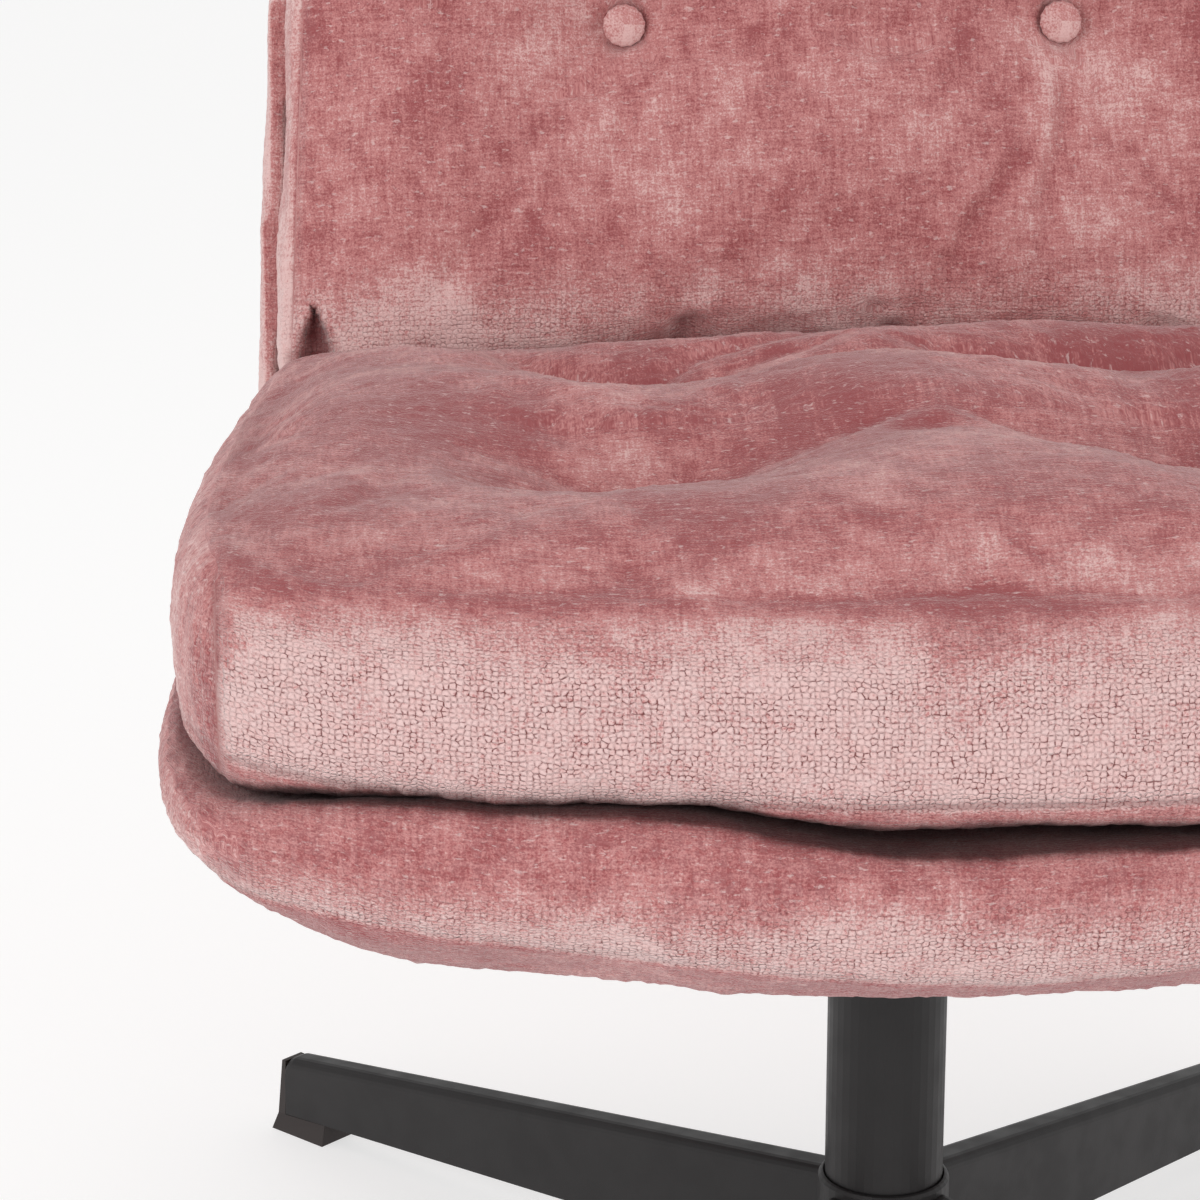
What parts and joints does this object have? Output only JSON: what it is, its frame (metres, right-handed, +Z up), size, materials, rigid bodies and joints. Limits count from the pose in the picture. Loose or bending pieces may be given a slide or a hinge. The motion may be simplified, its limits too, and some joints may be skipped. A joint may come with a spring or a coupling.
{
  "type": "swivel lounge chair",
  "caption": "Armless upholstered lounge chair with tufted seat and back cushions, swivelling on a steel column over a splayed arm base.",
  "frame": {"origin": "centre of the bounding box at floor level", "axes": "+Z up, -Y the way the chair faces at rest, +X to its right as seen from the front"},
  "size_m": [0.6468, 0.7381, 0.8593],
  "materials": {
    "black_steel": "matte black powder coat",
    "zinc_steel": "zinc plated",
    "foot_plastic": "matte moulded",
    "nylon": "matte moulded",
    "upholstery": "cut chenille pile",
    "pine": "planed, unvarnished",
    "plywood": "sanded, unvarnished",
    "webbing": "woven elastic",
    "cover_felt": "non-woven"
  },
  "bodies": {
    "base": {"arm_front_left": "black_steel", "arm_front_right": "black_steel", "arm_rear_left": "black_steel", "arm_rear_right": "black_steel", "foot_front_left": "foot_plastic", "foot_front_right": "foot_plastic", "foot_rear_left": "foot_plastic", "foot_rear_right": "foot_plastic", "hub_collar": "black_steel", "column_tube": "black_steel", "column_plug": "foot_plastic", "upper_bush": "nylon", "lower_bush": "nylon", "thrust_washer": "nylon"},
    "seat": {"spindle": "zinc_steel", "retaining_washer": "zinc_steel", "retaining_clip": "zinc_steel", "swivel_plate": "black_steel", "plate_bolt_1": "zinc_steel", "tee_nut_1": "zinc_steel", "frame_bolt_1": "zinc_steel", "seat_webbing_1": "webbing", "seat_button_1": "upholstery", "back_button_1": "upholstery", "plate_bolt_2": "zinc_steel", "tee_nut_2": "zinc_steel", "frame_bolt_2": "zinc_steel", "seat_webbing_2": "webbing", "seat_button_2": "upholstery", "back_button_2": "upholstery", "plate_bolt_3": "zinc_steel", "tee_nut_3": "zinc_steel", "frame_bolt_3": "zinc_steel", "seat_webbing_3": "webbing", "seat_button_3": "upholstery", "back_button_3": "upholstery", "plate_bolt_4": "zinc_steel", "tee_nut_4": "zinc_steel", "frame_bolt_4": "zinc_steel", "seat_webbing_4": "webbing", "seat_button_4": "upholstery", "back_button_4": "upholstery", "back_webbing_1": "webbing", "back_webbing_2": "webbing", "back_webbing_3": "webbing", "mounting_board": "plywood", "front_rail": "pine", "rear_rail": "pine", "side_rail_left": "pine", "side_rail_right": "pine", "dust_cover": "cover_felt", "back_upright_left": "pine", "back_upright_right": "pine", "back_lower_rail": "pine", "back_top_rail": "pine", "seat_shell": "upholstery", "seat_cushion": "upholstery", "back_shell": "upholstery", "back_cushion": "upholstery"}
  },
  "joints": [
    {"name": "swivel", "type": "hinge", "parent": "base", "child": "seat", "pos_m": [0, -0.044, 0.29], "axis": [0, 0, 1], "continuous": true}
  ]
}
